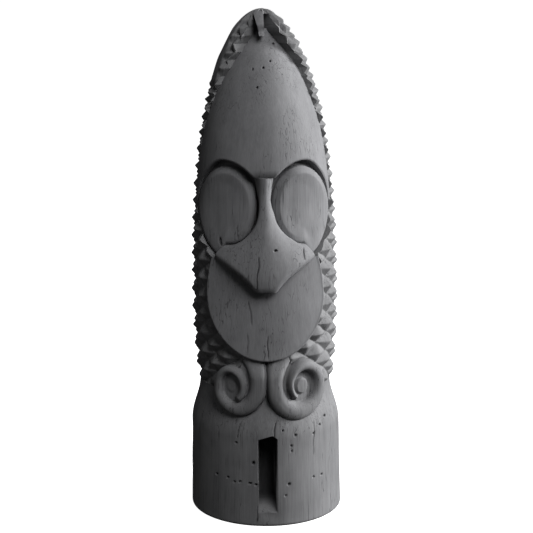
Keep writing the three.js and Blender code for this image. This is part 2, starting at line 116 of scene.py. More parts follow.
# The nose: x and height of its lower edge, then its side, ridge, foot and half width by height.
NOSE_LOWER_EDGE = [
    (0, 652), (20, 652), (33, 660), (45, 676), (62, 692), (86, 709), (112, 724), (132, 734), (146, 748),
]
NOSE_SIDE = [(668, 160), (736, 148), (744, 146), (756, 142), (775, 134), (830, 105), (921, 40), (962, 36)]
NOSE_RIDGE = [
    (650, 216), (675, 220), (700, 220), (720, 217), (760, 209), (800, 199), (840, 189), (880, 181),
    (921, 175), (940, 176), (962, 179),
]
NOSE_FOOT = [(660, 206), (720, 206), (745, 201), (775, 184), (800, 172), (840, 161), (880, 156), (962, 152)]
NOSE_HALF = [(668, 168), (742, 164), (770, 134), (800, 84), (838, 50), (886, 29), (921, 24), (964, 30)]
NOSE_ROUNDNESS = [(668, 1.9), (740, 1.8), (800, 1.6), (880, 2.2)]
TIP_OVERHANG, TIP_ROUNDING = 13, 26

# ---- scrolls ---------------------------------------------------------------------------------
SCROLL_X, SCROLL_Z, SCROLL_STRETCH = 104.0, 391.0, 1.25
STEM_ANGLE, SCROLL_START, SCROLL_END = 70.0, 10.0, 500.0
VOLUTE_R, SCROLL_FLOOR_R = 212.0, 150
# Outer and inner radius of each scroll's band at a series of turns, left and right.
SCROLL_TURNS = [-40, 0, 40, 70, 110, 160, 250, 340, 430, 500, 560]
SCROLL_OUTER = {
    -1: [150, 135, 120, 108, 82, 62, 45, 48, 48, 40, 34],
    1: [150, 135, 120, 110, 92, 75, 66, 60, 43, 33, 28],
}
SCROLL_INNER = {
    -1: [76, 68, 60, 54, 43, 31, 20, 30, 26, 23, 20],
    1: [74, 66, 58, 53, 43, 34, 36, 33, 25, 22, 18],
}
SCROLL_SOFTEN = 18
BAND_ROUNDING = 22
SCROLL_GROOVE = {-1: 17.0, 1: 21.0}
SCROLL_PLUG = {-1: (0.12, 16, 8), 1: (0.35, 19, 4)}  # height, radius and edge of the hollow's stub

# ---- slot ------------------------------------------------------------------------------------
SLOT_HALF, SLOT_LOW, SLOT_MIDDLE = 30.0, 30.0, 160
# How far each ring of the slot is set back, then its half width, top, peak and floor.
SLOT_RINGS = [
    (-30, 35, 262, 9, 36), (0.5, 28.6, 253.5, 9, 36), (4, 27, 252, 8, 39), (25, 25.2, 252, 8, 52),
    (52, 23, 252, 7, 68), (60, 22.4, 251, 7, 70), (90, 19, 249, 6, 70),
]

# ---- nets ------------------------------------------------------------------------------------
NET = 12  # cells of the net along half a pyramid
NET_R = 190.0  # radius at which a net's angles count as lengths
FAR_OUTSIDE = -500.0  # distance given to the whole back of the log
NUDGE = 0.3  # distance over which a slope is measured
SNAP = 0.42  # share of a cell within which a vertex is moved onto the cut
SHEET_GRID, SHEET_MARGIN = 30.0, 12  # spacing of the points under a piece, and how far in they stay
STEP = 2.0
FINE_STEP = STEP * 0.8
DRUM_SIDES, CORE_SIDES = 560, 96
BACK = 9  # half columns from the front to where the hair of the back begins

# ---- marks of age ----------------------------------------------------------------------------
# Near-black colour of the painted shade in the nail holes, checks, pits and deep in the slot.
PAINTED_SHADE = (0.012, 0.012, 0.013, 1)
PAINTED_SHADE_LEAST, PAINTED_SHADE_DEPTH, PAINTED_SHADE_MOST = 1.7, 4.0, 0.85  # least half width, depth of full painted shade, most
SLOT_SHADE_START, SLOT_SHADE_FULL = 14, 55  # how deep in the slot the painted shade begins and is full
# Nail holes and pits: x, z, half width and half height of each.
HOLES = [
    (-39, 183, 3.4, 4.4), (-140, 135, 2.4, 2.2), (-110, 133, 2.2, 2.2), (-92, 124, 2.4, 2),
    (-77, 126, 3, 2), (-49, 124, 4.5, 2.2), (-33, 121, 3, 2.6), (-85, 236, 2.6, 2.2),
    (42, 272, 2.2, 2.4), (77, 257, 2.8, 2.8), (160, 290, 3, 2.8), (145, 272, 2.4, 2.2),
    (128, 253, 2.2, 2.6), (65, 228, 2, 3), (66, 214, 1.8, 2.4), (58, 120, 3.6, 2.6), (49, 88, 2.2, 2.4),
    (127, 128, 2.4, 2.2), (150, 128, 2.4, 2.2), (21, 1264, 2.2, 2.2), (2, 1247, 2.6, 2.2),
    (-26, 1243, 1.9, 2.2), (-15, 1197, 2.2, 2.2), (32, 1307, 2.6, 2.4), (27, 773, 4.4, 2.4),
]
# Drying checks: x and z of the top, x and z of the foot, half width and depth of each.
CHECKS = [
    (-17, 757, -26, 664, 0.9, 4), (103, 774, 107, 742, 0.9, 4), (-120, 796, -117, 772, 2.4, 6),
    (-46, 632, -37, 566, 0.9, 3), (-50, 546, -51, 486, 0.8, 2), (4, 540, 3, 474, 0.9, 3),
    (24, 300, 17, 250, 1.0, 4), (-70, 297, -85, 246, 0.8, 2.5), (130, 285, 126, 190, 0.8, 2),
    (-26, 66, -33, 8, 0.9, 4),
]

# ---- camera ----------------------------------------------------------------------------------
EYE_LEVEL, DISTANCE = 1.540, 4.010
PITCH = math.radians(12.0)
AZIMUTH = math.radians(-1.5)
LENS_MM, SENSOR_MM = 99.0, 36.0

camera_data = bpy.data.cameras.new("camera")
camera_data.lens = LENS_MM
camera_data.sensor_width = SENSOR_MM
camera = bpy.data.objects.new("camera", camera_data)
camera.location = (DISTANCE * math.sin(AZIMUTH), -DISTANCE * math.cos(AZIMUTH), EYE_LEVEL)
camera.rotation_euler = (math.pi / 2 - PITCH, 0.0, AZIMUTH)
bpy.context.scene.collection.objects.link(camera)
bpy.context.scene.camera = camera


# ---- number helpers --------------------------------------------------------------------------
def clamp(x, low=0.0, high=1.0):
    return np.minimum(np.maximum(x, low), high)


def lerp(a, b, t):
    """The value a share t of the way from a to b."""
    return a + (b - a) * t


def along(x, points, soften=0.0):
    """The value at x of a line through points, with its corners rounded off over a distance."""
    xs, ys = zip(*points)
    if not soften:
        return np.interp(x, xs, ys)
    shifts = np.linspace(-soften, soften, 9)
    return sum(np.interp(x + shift, xs, ys) for shift in shifts) / len(shifts)


def smooth(x, low, high):
    """Rises from 0 at low to 1 at high, level at both ends."""
    t = clamp((x - low) / (high - low))
    return t * t * (3 - 2 * t)


def hashed(i, j, k, seed):
    """A repeatable number from 0 to 1 for a cell of a grid."""
    n = (i * 73856093) ^ (j * 19349663) ^ (k * 83492791) ^ (seed * 2654435761)
    n = (n ^ (n >> 13)) * 1274126177 & 0x7FFFFFFF
    return (n & 0xFFFF) / 65535.0


def noise(x, y, z, size, seed):
    """Smooth noise from -1 to 1 with features about size across; each argument is an array."""
    p = [np.asarray(v) / s for v, s in zip(np.broadcast_arrays(x, y, z), size)]
    cell = [np.floor(v).astype(np.int64) for v in p]
    f = [v - c for v, c in zip(p, cell)]
    f = [v * v * (3 - 2 * v) for v in f]
    total = 0.0
    for a in (0, 1):
        for b in (0, 1):
            for c in (0, 1):
                w = (f[0] if a else 1 - f[0]) * (f[1] if b else 1 - f[1]) * (f[2] if c else 1 - f[2])
                total = total + w * hashed(cell[0] + a, cell[1] + b, cell[2] + c, seed)
    return 2 * total - 1


def wobble(angle, z, size, seed):
    """Noise over the log's surface, without a seam at the back."""
    return noise(LOG_R * np.sin(angle), LOG_R * np.cos(angle), z, (size, size, size), seed)


# ---- the log's profiles ----------------------------------------------------------------------
def head_r(z):
    """Radius of the hair's pyramid tips, from the neck to the crown."""
    down = clamp((WIDEST_Z - z) / (WIDEST_Z - NECK_Z))
    up = clamp((z - WIDEST_Z) / (HEIGHT - WIDEST_Z))
    low = WIDEST_R - (WIDEST_R - HAIR_FOOT_R) * down**2
    return np.where(z < WIDEST_Z, low, WIDEST_R * np.sqrt(1 - up**TAPER))


def core_r(z):
    """Radius of the plain core."""
    up = clamp((z - WIDEST_Z) / (HEIGHT - 70 - WIDEST_Z))
    return CORE_R * np.sqrt(1 - up**TAPER)


def drum_r(z):
    """Radius of the plinth: a slight flare up to the shoulder, then an S down to the neck."""
    t = clamp((z - SHOULDER_Z) / (NECK_Z - SHOULDER_Z))
    side = lerp(FOOT_R, SHOULDER_R, clamp(z / SHOULDER_Z))
    return side - (SHOULDER_R - NECK_R) * (1 - np.cos(np.pi * t)) / 2


def forehead_r(z):
    """Radius of the floor of the face opening, which sinks deeper towards the apex."""
    up = clamp((z - SIDE_Z) / (APEX_Z - SIDE_Z))
    return head_r(z) - (FACE_SUNK + APEX_SUNK * up**3)


def opening(z):
    """Angle of the sides of the face opening, which close in towards the apex."""
    up = clamp((z - SIDE_Z) / (APEX_Z - SIDE_Z))
    return lerp(SIDE_ANGLE, APEX_ANGLE, up**2.1)


# ---- signed distances, in millimetres, positive inside ---------------------------------------
def egg_distance(x, z, half, rise, drop):
    """Distance inside an egg about the origin, its top and its foot each half an ellipse."""
    tall = np.where(z > 0, rise, drop)
    f = np.sqrt((x / half) ** 2 + (z / tall) ** 2) + 1e-9
    slope = np.sqrt((x / half**2) ** 2 + (z / tall**2) ** 2) + 1e-9
    return (1 - f) * f / slope


def notches(angle, z):
    """The rim of the hood steps in and out with the pyramids, more on its darker side."""
    row = np.interp(z, ROW_Z, np.arange(len(ROW_Z)))
    wave = np.abs(np.mod(row / 2 + np.where(angle > 0, 0.5, 0.0), 1.0) * 2 - 1)
    deep = np.where(angle > 0, RIGHT_NOTCH, LEFT_NOTCH) * smooth(z, BROW_Z + 60, BROW_Z + 160)
    return deep * (wave - 0.5) * smooth(HEIGHT - z, 20, 60)


def flare(angle, z):
    """The right rim of the hood is cut further back towards the crown."""
    return np.where(angle > 0, FLARE_ANGLE * np.exp(-(((z - FLARE_Z) / FLARE_SPREAD) ** 2)), 0.0)


def in_opening(angle, z):
    """Inside the rim of the hood, down to the middle of the eyes."""
    side = (opening(z) + flare(angle, z) - np.abs(angle)) * head_r(z) - notches(angle, z)
    return np.minimum(np.minimum(side, OPENING_TOP - z), z - EYE_Z)


def in_eye(angle, z, grow=0.0):
    """Inside an eye disc, whose outer half runs further down as the cheek."""
    x = np.abs(eye_face_r(angle, z) * np.sin(angle)) - EYE_X
    drop = lerp(EYE_DROP, CHEEK_DROP, smooth(x / EYE_HALF, 0.0, 0.35))
    egg = egg_distance(x, z - EYE_Z, EYE_HALF, EYE_RISE, drop) + grow
    return np.where(np.cos(angle) > 0, egg, FAR_OUTSIDE)


def in_chin(angle, z):
    """Inside the chin disc, which is cut off level behind the nose."""
    x = chin_face_r(angle, z) * np.sin(angle)
    egg = egg_distance(x, z - CHIN_Z, CHIN_HALF, CHIN_RISE, CHIN_DROP)
    return np.where(np.cos(angle) > 0, np.minimum(egg, CHIN_TOP - z), FAR_OUTSIDE)


def eye_groove(z):
    """Width of the groove between a disc and the nose."""
    return lerp(LOW_GROOVE, HIGH_GROOVE, smooth(z, 785, 850))


def nose_x(angle, z):
    """How far a point of the nose lies from the midline, seen from the front."""
    return np.abs(nose_face_r(angle, z) * np.sin(angle))


def nose_lower(angle, z):
    """Height of the lower edge of the nose: a blunt tip that rises to the wings."""
    return along(nose_x(angle, z), NOSE_LOWER_EDGE, 6)


def in_nose(angle, z):
    """Between the lower edge of the wings and the forehead, less the eye discs and their grooves."""
    x = nose_x(angle, z)
    above = (z - nose_lower(angle, z)) * 0.9
    side = (along(z, NOSE_SIDE, 5) - x) * 0.85
    lap = np.where(angle > 0, CHEEK_LAP, 0.0) * smooth(z, 765, 800) * smooth(-z, -910, -860)
    d = np.minimum(np.minimum(above, side), BRIDGE_Z - z)
    return np.where(np.cos(angle) > 0, np.minimum(d, -in_eye(angle, z, eye_groove(z) - lap)), FAR_OUTSIDE)


def brow_gap(angle, z):
    """Width of the groove that the brow leaves round an eye disc."""
    x = np.abs(eye_face_r(angle, z) * np.sin(angle)) - EYE_X
    return lerp(INNER_BROW_GAP, OUTER_BROW_GAP, smooth(x / EYE_HALF, 0.1, 0.8))


def in_forehead(angle, z):
    """Within the sides of the face, above the arch round each eye and the bridge of the nose."""
    arch = -in_eye(angle, z, 0.0) - brow_gap(angle, z)
    low = np.minimum(arch, z - np.where(np.abs(angle) < 0.25, BRIDGE_Z, EYE_Z))
    side = (opening(z) + flare(angle, z) - np.abs(angle)) * np.maximum(forehead_r(z), 20) - 0.3
    return np.where(np.cos(angle) > 0, np.minimum(np.minimum(low, side), APEX_Z + 6 - z), FAR_OUTSIDE)


def forehead_face_r(angle, z):
    """The forehead's smooth face, rounded off along the brows and lowered to meet the bridge."""
    edge = -in_eye(angle, z) - brow_gap(angle, z)
    middle = 1 - smooth(np.abs(angle), 0.12, 0.3)
    ledge = LEDGE_DEPTH * (1 - clamp((z - BRIDGE_Z) / LEDGE_RISE)) ** 2 * middle
    return forehead_r(z) - 3 * (1 - clamp(edge / 5)) ** 2 - ledge


def in_socket(angle, z):
    """An eye disc with the groove round it."""
    beside = np.where(np.abs(eye_face_r(angle, z) * np.sin(angle)) < EYE_X, eye_groove(z), LOW_GROOVE)
    pad = lerp(beside, brow_gap(angle, z), smooth(z - EYE_Z, 0, 50)) - GAP
    side = (SIDE_ANGLE - np.abs(angle)) * 180 - 0.3
    return np.minimum(in_eye(angle, z) + pad, side)


def in_chin_piece(angle, z):
    """The chin disc, clear of the cheeks."""
    return np.minimum(in_chin(angle, z), -in_eye(angle, z, 4.0))


def in_keel(angle, z):
    """A narrow strip that hangs from the crown and leans to the left as it rises."""
    x = keel_r(angle, z) * np.sin(angle)
    up = clamp((z - APEX_Z) / (OPENING_TOP - APEX_Z))
    half = lerp(KEEL_FOOT_HALF, KEEL_TOP_HALF, up)
    side = half - np.abs(x - lerp(KEEL_FOOT_X, KEEL_TOP_X, up))
    return np.minimum(side, np.minimum(z - APEX_Z + 12, HEIGHT - 6 - z))


def in_hair(angle, z):
    """Everything above the neck that no other carved piece takes up."""
    d = np.minimum(-in_opening(angle, z), z - NECK_Z - GAP)
    for other in (in_socket, in_nose, in_chin, in_scroll(1), in_scroll(-1)):
        d = np.minimum(d, -other(angle, z) - GAP)
    return d


# ---- carved reliefs --------------------------------------------------------------------------
def eye_face_r(angle, z):
    """The flat of an eye disc and the cheek under it: deep beside the nose, full at the side."""
    turn = clamp((np.degrees(np.abs(angle)) - 8) / 64, 0, 1.3)
    return EYE_INNER_R + EYE_FULLNESS * turn**1.6 + CHEEK_FULLNESS * smooth(EYE_Z - z, -20, 130)


def eye_r(angle, z):
    """A disc's flat with its edge bevelled off above and towards the nose, and slightly dished."""
    d = in_eye(angle, z)
    x = np.abs(eye_face_r(angle, z) * np.sin(angle)) - EYE_X
    lit = smooth(z - EYE_Z - 0.9 * x, -110, 10)
    bevel = DISC_BEVEL * (1 - clamp(d / 18)) ** 1.4 * lit
    soft = DISC_ROUNDING * (1 - clamp(d / 9)) ** 2
    dish = DISC_DISH * smooth(d, 14, 50)
    groove = DISC_GROOVE * smooth(-d, 0.0, 3.0)
    return eye_face_r(angle, z) + DISC_LIFT - bevel - soft * (1 - lit) - dish - groove


def chin_face_r(angle, z):
    """A part of an upright cylinder that leans forward towards its foot."""
    down = clamp((CHIN_TOP - z) / (CHIN_TOP - CHIN_Z + CHIN_DROP), -0.1, 1.2)
    depth = CHIN_TOP_R + CHIN_LEAN * down
    s2 = np.sin(angle) ** 2 / CHIN_CURVE + 1e-6
    c = np.cos(angle)
    return (np.sqrt(c**2 + 2 * depth * s2) - c) / s2


def chin_r(angle, z):
    """The chin disc with its edge rounded off, and a low rim along the right."""
    d = in_chin(angle, z)
    rim = 1.6 * np.exp(-(((d - 3.5) / 2.2) ** 2)) * smooth(np.sin(angle), 0.2, 0.6)
    return chin_face_r(angle, z) + rim - 4 * (1 - clamp(d / 5)) ** 2


def nose_face_r(angle, z):
    """A rounded ridge that spreads down to the foot of the nose on each side."""
    ridge = along(z, NOSE_RIDGE, 16)
    half = along(z, NOSE_HALF, 14)
    foot = along(z, NOSE_FOOT, 14)
    t = clamp(np.abs(190 * np.sin(angle)) / half, 0, 1.35)
    power = along(z, NOSE_ROUNDNESS, 20)
    return foot + (ridge - foot) * (1 - t**power)


def nose_r(angle, z):
    """The nose with its lower edge turned under and its other edges eased, but not at the bridge."""
    d = in_nose(angle, z)
    under = TIP_OVERHANG * (1 - clamp((z - nose_lower(angle, z)) / TIP_ROUNDING)) ** 2.2
    d = np.where(z > BRIDGE_Z - 12, 4, d)
    return nose_face_r(angle, z) - under - 2 * (1 - clamp(d / 4)) ** 2


def scroll_turns(x, z):
    """Distance from the scroll's hollow, and the angle of the spiral there, before whole turns."""
    dx, dz = x - SCROLL_X, (z - SCROLL_Z) / SCROLL_STRETCH
    return np.hypot(dx, dz), np.mod(np.degrees(np.arctan2(dz, dx)) - 180 + STEM_ANGLE, 360)


def scroll_band(radii, turn):
    """Radius of one edge of a scroll's band at a turn."""
    return along(turn, list(zip(SCROLL_TURNS, radii)), SCROLL_SOFTEN)


def in_scroll(side):
    """Inside the outer edge of the scroll on one side, below the chin and clear of the midline."""
    def inside(angle, z):
        x = side * VOLUTE_R * np.sin(angle)
        reach, turn = scroll_turns(x, z)
        turn = np.where(turn < SCROLL_START, turn + 360, turn)
        d = np.minimum(scroll_band(SCROLL_OUTER[side], turn) - reach, x - GAP / 2)
        d = np.minimum(d, -in_chin(angle, z) - GAP)
        return np.where(np.cos(angle) > 0, d, FAR_OUTSIDE)
    return inside


def scroll_r(side):
    """A rounded band that winds in towards the hollow, above a groove."""
    def radius(angle, z):
        x = side * VOLUTE_R * np.sin(angle)
        reach, turn = scroll_turns(x, z)
        height = np.zeros_like(reach)
        for whole in (0, 360):
            t = turn + whole
            outer = scroll_band(SCROLL_OUTER[side], t)
            inner = scroll_band(SCROLL_INNER[side], t)
            edge = np.minimum(outer - reach, reach - inner)
            rounding = np.minimum((outer - inner) / 2, BAND_ROUNDING)
            section = np.sqrt(clamp(1 - (1 - clamp(edge / rounding)) ** 2))
            section = section * smooth(SCROLL_END - t, 0, 30) * (t >= SCROLL_START)
            height = np.maximum(height, np.where(edge > 0, section, 0))
        stub, stub_r, stub_edge = SCROLL_PLUG[side]
        height = np.maximum(height, stub * smooth(stub_r - reach, 0, stub_edge))
        middle = 8 * (1 - clamp(x / 11)) ** 2
        tuck = 14 * (1 - smooth(-in_chin(angle, z), -5, 52))
        return VOLUTE_R - SCROLL_GROOVE[side] * (1 - height) - middle - tuck
    return radius


def hair_r(angle, z):
    """Pyramids in staggered rows: tips and the low corners between them alternate on a lattice."""
    u = angle / HALF_COLUMN - 0.5
    v = np.interp(z, ROW_Z, np.arange(len(ROW_Z)))
    i, k = np.floor(u + 1e-9), np.floor(v + 1e-9)
    a, b = clamp(u - i), clamp(v - k)
    odd = np.mod(i + k, 2) > 0.5
    first = np.where(odd, a + b < 1, b < a)
    x = np.where(odd, np.where(first, a, 1 - a), np.where(first, 1 - a, a))
    y = np.where(odd, np.where(first, b, 1 - b), np.where(first, b, 1 - b))
    tip_i = i + np.where(odd, np.where(first, 0, 1), np.where(first, 1, 0))
    tip_k = k + np.where(odd, np.where(first, 0, 1), np.where(first, 0, 1))
    fall = np.sqrt(x**2 + WORN**2) + np.sqrt(y**2 + WORN**2) - 2 * WORN
    own = hashed(np.mod(tip_i, 2 * PYRAMIDS).astype(np.int64), tip_k.astype(np.int64), 0, 5)
    depth = np.minimum(PYRAMID_DEPTH, head_r(z) / 3) * (1.12 - 0.24 * own * (fall < 1))
    fuller = PYRAMID_FULLER * smooth(np.sin(angle), 0.5, 1.0) * smooth(HEIGHT - z, 60, 240)
    plain = smooth(z, PLAIN_LOW, PLAIN_HIGH) * smooth(-np.sin(angle), PLAIN_EDGE, PLAIN_FULL)
    sunk = depth * np.minimum(fall / (1 - 0.8 * WORN), 1.0)
    return head_r(z) + 1 + fuller - lerp(sunk, PLAIN_DEPTH, plain)


def hair_warp(angle, z):
    """Hand-cut rows don't run quite true."""
    across = 4.2 * wobble(angle, z, 34, 11) + 1.0 * wobble(angle, z, 12, 12)
    up = 3.8 * wobble(angle, z, 30, 13)
    free = smooth(z, NECK_Z, NECK_Z + 20) * smooth(HEIGHT - z, 10, 60)
    return across * free / np.maximum(head_r(z), 40), up * free


def marks(angle, z, radius, least=0.0):
    """Depth of the nail holes and checks, each at least so wide, at a point of the surface."""
    x = radius * np.sin(angle)
    front = np.cos(angle) > 0
    depth = np.zeros_like(x)
    for at_x, at_z, wide, tall in HOLES:
        q = ((x - at_x) / max(wide, least)) ** 2 + ((z - at_z) / max(tall, least)) ** 2
        depth += 10 * np.exp(-(q**2))
    for top_x, top_z, low_x, low_z, wide, deep in CHECKS:
        t = clamp((top_z - z) / (top_z - low_z))
        mid = lerp(top_x, low_x, t) + 1.3 * np.sin(z / 9.0 + top_x)
        ends = smooth(top_z + 3 - z, 0, 12) * smooth(z - low_z + 3, 0, 12)
        depth += deep * ends * np.exp(-(((x - mid) / max(wide, least)) ** 2))
    return np.where(front, depth, 0.0)


def worked(angle, z, size=26.0, much=0.7):
    """The slight unevenness of a hand-worked surface."""
    return much * wobble(angle, z, size, 21) + 0.35 * much * wobble(angle, z, size / 3, 22)


# ---- meshes ----------------------------------------------------------------------------------
def place(angle, z, r):
    """Points on the leaning log, in metres."""
    x = r * np.sin(angle) - LEAN * z / HEIGHT
    return np.stack([x, -r * np.cos(angle), z], axis=-1) / MM


def mesh_object(name, points, faces, sharp_edges=()):
    """A smooth-shaded object in the scene, creased along its sharp edges."""
    mesh = bpy.data.meshes.new(name)
    mesh.from_pydata([tuple(p) for p in points], [], faces)
    mesh.shade_smooth()
    if len(sharp_edges):
        wanted = {tuple(sorted(e)) for e in sharp_edges}
        flags = [tuple(sorted(e.vertices)) in wanted for e in mesh.edges]
        mesh.attributes.new("sharp_edge", "BOOLEAN", "EDGE").data.foreach_set("value", flags)
    obj = bpy.data.objects.new(name, mesh)
    bpy.context.scene.collection.objects.link(obj)
    return obj


def even_cell(angle, z):
    """No cell of the net is split the other way."""
    return np.zeros(angle.shape, bool)


def snapped(A, Z, inside, step_a, step_z):
    """A net with the vertices close to the cut moved onto it, and how far inside each one lies."""
    D = inside(A, Z)
    slope_a = (inside(A + NUDGE / NET_R, Z) - inside(A - NUDGE / NET_R, Z)) / (2 * NUDGE)
    slope_z = (inside(A, Z + NUDGE) - inside(A, Z - NUDGE)) / (2 * NUDGE)
    steepness = slope_a**2 + slope_z**2 + 1e-9
    reach = SNAP * min(step_a * NET_R, step_z) * np.sqrt(steepness)
    near = (np.abs(D) < reach) & (steepness > 0.2)
    near[0, :] = near[-1, :] = False
    near[:, 0] = near[:, -1] = False
    A = np.where(near, A - D * slope_a / steepness / NET_R, A)
    Z = np.where(near, Z - D * slope_z / steepness, Z)
    return A, Z, np.where(near, 0.0, D)


def kept_vertices(A, Z, faces):
    """The vertices that faces use, and the faces with those vertices numbered afresh."""
    used = np.unique([v for f in faces for v in f])
    new = np.full(len(A), -1)
    new[used] = np.arange(len(used))
    return A[used], Z[used], [tuple(int(new[v]) for v in f) for f in faces]


def clipped_net(angles, rows, inside, odd_cell):
    """Triangles of a net of angles and heights, cut along the line where inside is zero."""
    step_a, step_z = angles[1] - angles[0], rows[1] - rows[0]
    A, Z = np.meshgrid(angles, rows)
    A, Z, D = snapped(A, Z, inside, step_a, step_z)
    index = np.arange(D.size).reshape(D.shape)
    a, b, c, d = index[:-1, :-1], index[:-1, 1:], index[1:, :-1], index[1:, 1:]
    turn = odd_cell(A[:-1, :-1] + step_a / 2, Z[:-1, :-1] + step_z / 2)
    one = np.where(turn[..., None], np.stack([a, b, c], -1), np.stack([a, b, d], -1))
    two = np.where(turn[..., None], np.stack([b, d, c], -1), np.stack([a, d, c], -1))
    tris = np.concatenate([one.reshape(-1, 3), two.reshape(-1, 3)])
    A, Z, D = A.ravel(), Z.ravel(), D.ravel()
    corners = D[tris]
    whole = (corners >= 0).all(1) & (corners > 0).any(1)
    partly = (corners > 0).any(1) & (corners < 0).any(1)
    faces = [tuple(t) for t in tris[whole].tolist()]
    extra_a, extra_z, made = [], [], {}

    def crossing(u, v):
        key = (min(u, v), max(u, v))
        if key not in made:
            t = D[u] / (D[u] - D[v])
            extra_a.append(A[u] + (A[v] - A[u]) * t)
            extra_z.append(Z[u] + (Z[v] - Z[u]) * t)
            made[key] = len(A) + len(extra_a) - 1
        return made[key]

    for t in tris[partly].tolist():
        loop = []
        for u, v in zip(t, t[1:] + t[:1]):
            if D[u] >= 0:
                loop.append(u)
            if D[u] * D[v] < 0:
                loop.append(crossing(u, v))
        if len(loop) > 2:
            faces.append(tuple(loop))
    return kept_vertices(np.concatenate([A, extra_a]), np.concatenate([Z, extra_z]), faces)


def largest_part(count, faces):
    """The faces of the largest connected part."""
    parent = list(range(count))

    def root(v):
        while parent[v] != v:
            parent[v] = parent[parent[v]]
            v = parent[v]
        return v

    for f in faces:
        r = root(f[0])
        for v in f[1:]:
            parent[root(v)] = r
    size = {}
    for f in faces:
        size[root(f[0])] = size.get(root(f[0]), 0) + 1
    best = max(size, key=size.get)
    return [f for f in faces if root(f[0]) == best]


def rim_loops(faces):
    """The boundary of a patch as closed loops of vertices, each in the faces' own direction."""
    sides = {}
    for f in faces:
        for u, v in zip(f, f[1:] + f[:1]):
            sides[(u, v)] = True
    after = {}
    for u, v in sides:
        if (v, u) not in sides:
            after.setdefault(u, []).append(v)
    loops = []
    while after:
        start = next(iter(after))
        loop, v = [], start
        while v in after:
            loop.append(v)
            ends = after[v]
            w = ends.pop()
            if not ends:
                del after[v]
            v = w
        loops.append(loop)
    return loops


def loop_sides(loops):
    """The sides of closed loops, in order."""
    return [side for loop in loops for side in zip(loop, loop[1:] + loop[:1])]


def inner_sheet(A, Z, loops, inside):
    """A plain net under a patch: flat vertices, the rim vertices that each stands for, triangles."""
    rim = sorted({v for loop in loops for v in loop})
    place_in_rim = {v: i for i, v in enumerate(rim)}
    edges = [(place_in_rim[u], place_in_rim[v]) for u, v in loop_sides(loops)]
    flat = [Vector((A[v] * NET_R, Z[v])) for v in rim]
    for a in np.arange(A.min() * NET_R + SHEET_GRID / 2, A.max() * NET_R, SHEET_GRID):
        for z in np.arange(Z.min() + SHEET_GRID / 2, Z.max(), SHEET_GRID):
            if inside(np.array([a / NET_R]), np.array([z]))[0] > SHEET_MARGIN:
                flat.append(Vector((a, z)))
    verts, _, tris, origins, _, _ = delaunay_2d_cdt(flat, edges, [], 1, 1e-6)
    return verts, [[rim[o] for o in origin if o < len(rim)] for origin in origins], tris


def carve(name, angles, rows, inside, radius, warp=None, odd_cell=even_cell, floor=core_r):
    """A closed piece: the carved patch, walls along its rim and a plain surface inside the log."""
    A, Z, faces = clipped_net(angles, rows, inside, odd_cell)
    A, Z, faces = kept_vertices(A, Z, largest_part(len(A), faces))
    loops = rim_loops(faces)
    outer_r = radius(A, Z)
    seen_a, seen_z = A, Z
    if warp is not None:
        rim = np.unique([v for loop in loops for v in loop])
        da, dz = warp(A, Z)
        da[rim] = dz[rim] = 0
        free = 1 - np.exp(-(clamp(inside(A, Z), 0, 60) / 7) ** 2)
        seen_a, seen_z = A + da * free, Z + dz * free
    points = [*place(seen_a, seen_z, outer_r)]
    inner = place(A, Z, np.minimum(floor(Z), outer_r - 2))

    below, sharp = {}, []
    for u, v in loop_sides(loops):
        if u not in below:
            below[u] = len(points)
            points.append(inner[u])
    for u, v in loop_sides(loops):
        faces.append((v, u, below[u], below[v]))
        sharp += [(u, v), (below[u], below[v])]

    verts, stands_for, tris = inner_sheet(A, Z, loops, inside)
    numbers = []
    for vert, known in zip(verts, stands_for):
        if known:
            numbers.append(below[known[0]])
            continue
        numbers.append(len(points))
        depth = floor(np.array([vert.y]))[0]
        points.append(place(np.array(vert.x / NET_R), np.array(vert.y), np.array(depth)))
    for tri in tris:
        (ax, az), (bx, bz), (cx, cz) = (verts[i] for i in tri)
        face = tuple(numbers[i] for i in tri)
        faces_out = (bx - ax) * (cz - az) - (cx - ax) * (bz - az) > 0
        faces.append(face[::-1] if faces_out else face)
    return mesh_object(name, points, faces, sharp)


# ---- the log's other surfaces ----------------------------------------------------------------
def shell_floor(z):
    """How deep the hair and the forehead reach, below the floor of the face opening everywhere."""
    deep = np.minimum(CORE_R, forehead_r(z) - 16)
    return np.minimum(np.maximum(deep, 4), 0.8 * head_r(z))


def keel_r(angle, z):
    """The keel's front, which comes out to the hair's surface at the crown."""
    up = clamp((z - APEX_Z) / (OPENING_TOP - APEX_Z))
    return head_r(z) - lerp(KEEL_FOOT_SUNK, KEEL_TOP_SUNK, smooth(up, -0.1, 0.5))


def drum_surface_r(angle, z):
    """The plinth with seats for the scrolls, a worn scoop below the slot and a rounded foot."""
    under = np.maximum(in_scroll(1)(angle, z), in_scroll(-1)(angle, z))
    seat = smooth(under, 2, 8) * clamp(drum_r(z) - SEAT_R, 0)
    scoop = SCOOP_DEPTH * np.exp(-((LOG_R * np.sin(angle) / SCOOP_HALF) ** 2))
    scoop = np.where(np.cos(angle) > 0, scoop * smooth(70 - z, 0, 30) * smooth(z, 8, 40), 0)
    foot = clamp((FOOT_ROUNDING - z) / FOOT_ROUNDING)
    rounding = FOOT_ROUNDING * (1 - np.sqrt(1 - foot**2))
    soft = worked(angle, z, 70, 0.8) * smooth(z, 0, 20)
    return drum_r(z) - seat - scoop - rounding + soft - marks(angle, z, drum_r(z))


def row_heights():
    """Heights of the rows of tips, which draw closer towards the crown."""
    rows, z = [], FIRST_ROW
    while z < HEIGHT - CROWN_ROW_STEP / 2:
        rows.append(z)
        z += lerp(ROW_STEP, CROWN_ROW_STEP, (z - FIRST_ROW) / (HEIGHT - FIRST_ROW))
    return np.array(rows + [HEIGHT])


ROW_Z = row_heights()


